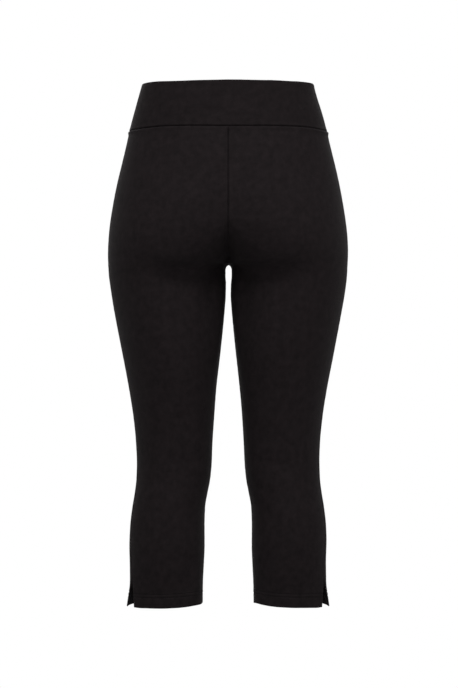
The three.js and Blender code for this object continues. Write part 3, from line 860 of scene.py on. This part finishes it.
def waistband(is_back):
    p, n, arc, to_side, below = band_half(is_back)
    above_seam = 70.2 - below
    seed = 61 if is_back else 67
    out = NAP + slow_waves(arc, below, seed) * 0.7
    out += 0.25 * np.exp(-(((above_seam - 2.6) / 2.2) ** 2))
    out -= 1.95 * np.exp(-((above_seam / 1.1) ** 2)) * (1 - 0.55 * ramp(130, 152, np.abs(p[..., 0])))
    out -= 1.1 * np.exp(-((to_side / 0.75) ** 2))
    out += 0.15 * np.exp(-(((to_side - 3.2) / 2.4) ** 2))
    out += pucker(arc, above_seam, seed + 1, 0.12, 6.0)
    out += pucker(below, to_side, seed + 2, 0.08)
    out += pucker(arc, below, seed + 3, 0.08, 6.0)
    thick = BAND_CLOTH + 0.5 * ridge(to_side, ALLOWANCE_WIDTH)
    half = BAND_CLOTH / 2
    q = np.clip(1 - below / half, 0, 1)
    roll = half * (1 - np.sqrt(1 - q * q * 0.9996))
    outer = uneven(p + n * (out - roll)[..., None])
    inner = uneven(p + n * np.minimum(np.maximum(out, -0.4) * 0.3 - thick + roll, out - roll - 0.05)[..., None])
    uv = np.stack([arc + (3600 if is_back else 4500), -below], -1)
    name = "cloth_waistband_" + ("back" if is_back else "front")
    # folded double, so the cloth's face shows on both sides
    return cloth_mesh(
        name, outer, inner, uv, reverse=not is_back, face=BAND_JERSEY, inside=BAND_JERSEY
    )


# ------------------------------------------------------------------ make the pieces
for is_back in (True, False):
    side = "back" if is_back else "front"
    for name, (cloth, threads) in leg_panel(is_back, panel_rows(is_back)).items():
        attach(cloth, "root")
        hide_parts(name)
        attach(threads, "root")
    band = waistband(is_back)
    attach(band, "root")
    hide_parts("waistband_" + side)

# ------------------------------------------------------------------ floor, light, camera
scene = bpy.context.scene
scene.view_settings.view_transform = "Standard"
scene.view_settings.look = "None"
scene.view_settings.exposure = 0
scene.view_settings.gamma = 1

world = bpy.data.worlds.new("studio")
scene.world = world
world.use_nodes = True
sky = world.node_tree
backdrop = sky.nodes["Background"]
backdrop.inputs["Color"].default_value = (1, 1, 1, 1)
where_to = sky.nodes.new("ShaderNodeTexCoord")
height = sky.nodes.new("ShaderNodeSeparateXYZ")
sky.links.new(where_to.outputs["Generated"], height.inputs[0])


def sky_range(low, high, start, end):
    """A smooth change of the studio's brightness between two heights over the horizon."""
    node = sky.nodes.new("ShaderNodeMapRange")
    node.interpolation_type = "SMOOTHSTEP"
    node.inputs["From Min"].default_value = low
    node.inputs["From Max"].default_value = high
    node.inputs["To Min"].default_value = start
    node.inputs["To Max"].default_value = end
    sky.links.new(height.outputs["Z"], node.inputs["Value"])
    return node.outputs["Result"]


total = sky.nodes.new("ShaderNodeMath")
total.operation = "ADD"
sky.links.new(sky_range(0.12, 0.26, 1.0, 0.25), total.inputs[0])
sky.links.new(sky_range(0.5, 0.97, 0.0, 0.7), total.inputs[1])
sky.links.new(total.outputs[0], backdrop.inputs["Strength"])

floor_mesh = bpy.data.meshes.new("floor")
FLOOR_Z = -1.35
ring_r = (0, 0.5, 1, 1.6, 2.4, 3.6, 6, 12, 40)
count = 64
fv = [(0, 0, FLOOR_Z)]
ff = []
for r in ring_r[1:]:
    for k in range(count):
        a = 2 * math.pi * k / count
        fv.append((r * math.cos(a), r * math.sin(a), FLOOR_Z))
for k in range(count):
    ff.append((0, 1 + k, 1 + (k + 1) % count))
for i in range(1, len(ring_r) - 1):
    a, b = 1 + (i - 1) * count, 1 + i * count
    for k in range(count):
        k2 = (k + 1) % count
        ff.append((a + k, b + k, b + k2, a + k2))
floor_mesh.from_pydata(fv, [], ff)
floor = bpy.data.objects.new("floor", floor_mesh)
scene.collection.objects.link(floor)
floor_mat = bpy.data.materials.new("pale_floor")
tree = nodes_of(floor_mat)
out = tree.nodes.new("ShaderNodeOutputMaterial")
plain = tree.nodes.new("ShaderNodeBsdfDiffuse")
plain.inputs["Color"].default_value = (0.46, 0.46, 0.46, 1)
glow = tree.nodes.new("ShaderNodeEmission")
glow.inputs["Color"].default_value = (1, 1, 1, 1)
glow.inputs["Strength"].default_value = 1.0
place = tree.nodes.new("ShaderNodeTexCoord")
flat_xy = tree.nodes.new("ShaderNodeVectorMath")
flat_xy.operation = "MULTIPLY"
flat_xy.inputs[1].default_value = (1, 1, 0)
tree.links.new(place.outputs["Object"], flat_xy.inputs[0])
far = tree.nodes.new("ShaderNodeVectorMath")
far.operation = "LENGTH"
tree.links.new(flat_xy.outputs[0], far.inputs[0])
fade = tree.nodes.new("ShaderNodeMapRange")
fade.interpolation_type = "SMOOTHSTEP"
fade.inputs["From Min"].default_value = 1.8
fade.inputs["From Max"].default_value = 3.85
tree.links.new(far.outputs["Value"], fade.inputs["Value"])
blend = tree.nodes.new("ShaderNodeMixShader")
tree.links.new(fade.outputs["Result"], blend.inputs["Fac"])
tree.links.new(plain.outputs[0], blend.inputs[1])
tree.links.new(glow.outputs[0], blend.inputs[2])
tree.links.new(blend.outputs[0], out.inputs["Surface"])
floor.data.materials.append(floor_mat)


def area_light(name, place, aim, size, power):
    data = bpy.data.lights.new(name, "AREA")
    data.shape = "RECTANGLE"
    data.size, data.size_y = size
    data.energy = power
    obj = bpy.data.objects.new(name, data)
    scene.collection.objects.link(obj)
    from mathutils import Vector

    obj.visible_camera = False
    obj.location = place
    obj.rotation_euler = (Vector(aim) - Vector(place)).to_track_quat("-Z", "Y").to_euler()
    return obj


area_light("key", (0.0, -2.0, 1.65), (0, 0, -0.35), (2.2, 1.3), 98)
area_light("key_front", (-0.1, 2.0, 1.65), (0, 0, -0.35), (2.2, 1.3), 92)
area_light("side", (2.3, -1.2, 0.5), (0, 0, -0.4), (1.0, 1.0), 9)

camera_data = bpy.data.cameras.new("camera")
camera_data.lens = 157.3
camera_data.sensor_width = 36
camera_data.clip_end = 100
camera = bpy.data.objects.new("camera", camera_data)
camera.location = (0.0013, -4.510, -0.3885)
camera.rotation_euler = (math.pi / 2, 0, 0)
scene.collection.objects.link(camera)
scene.camera = camera
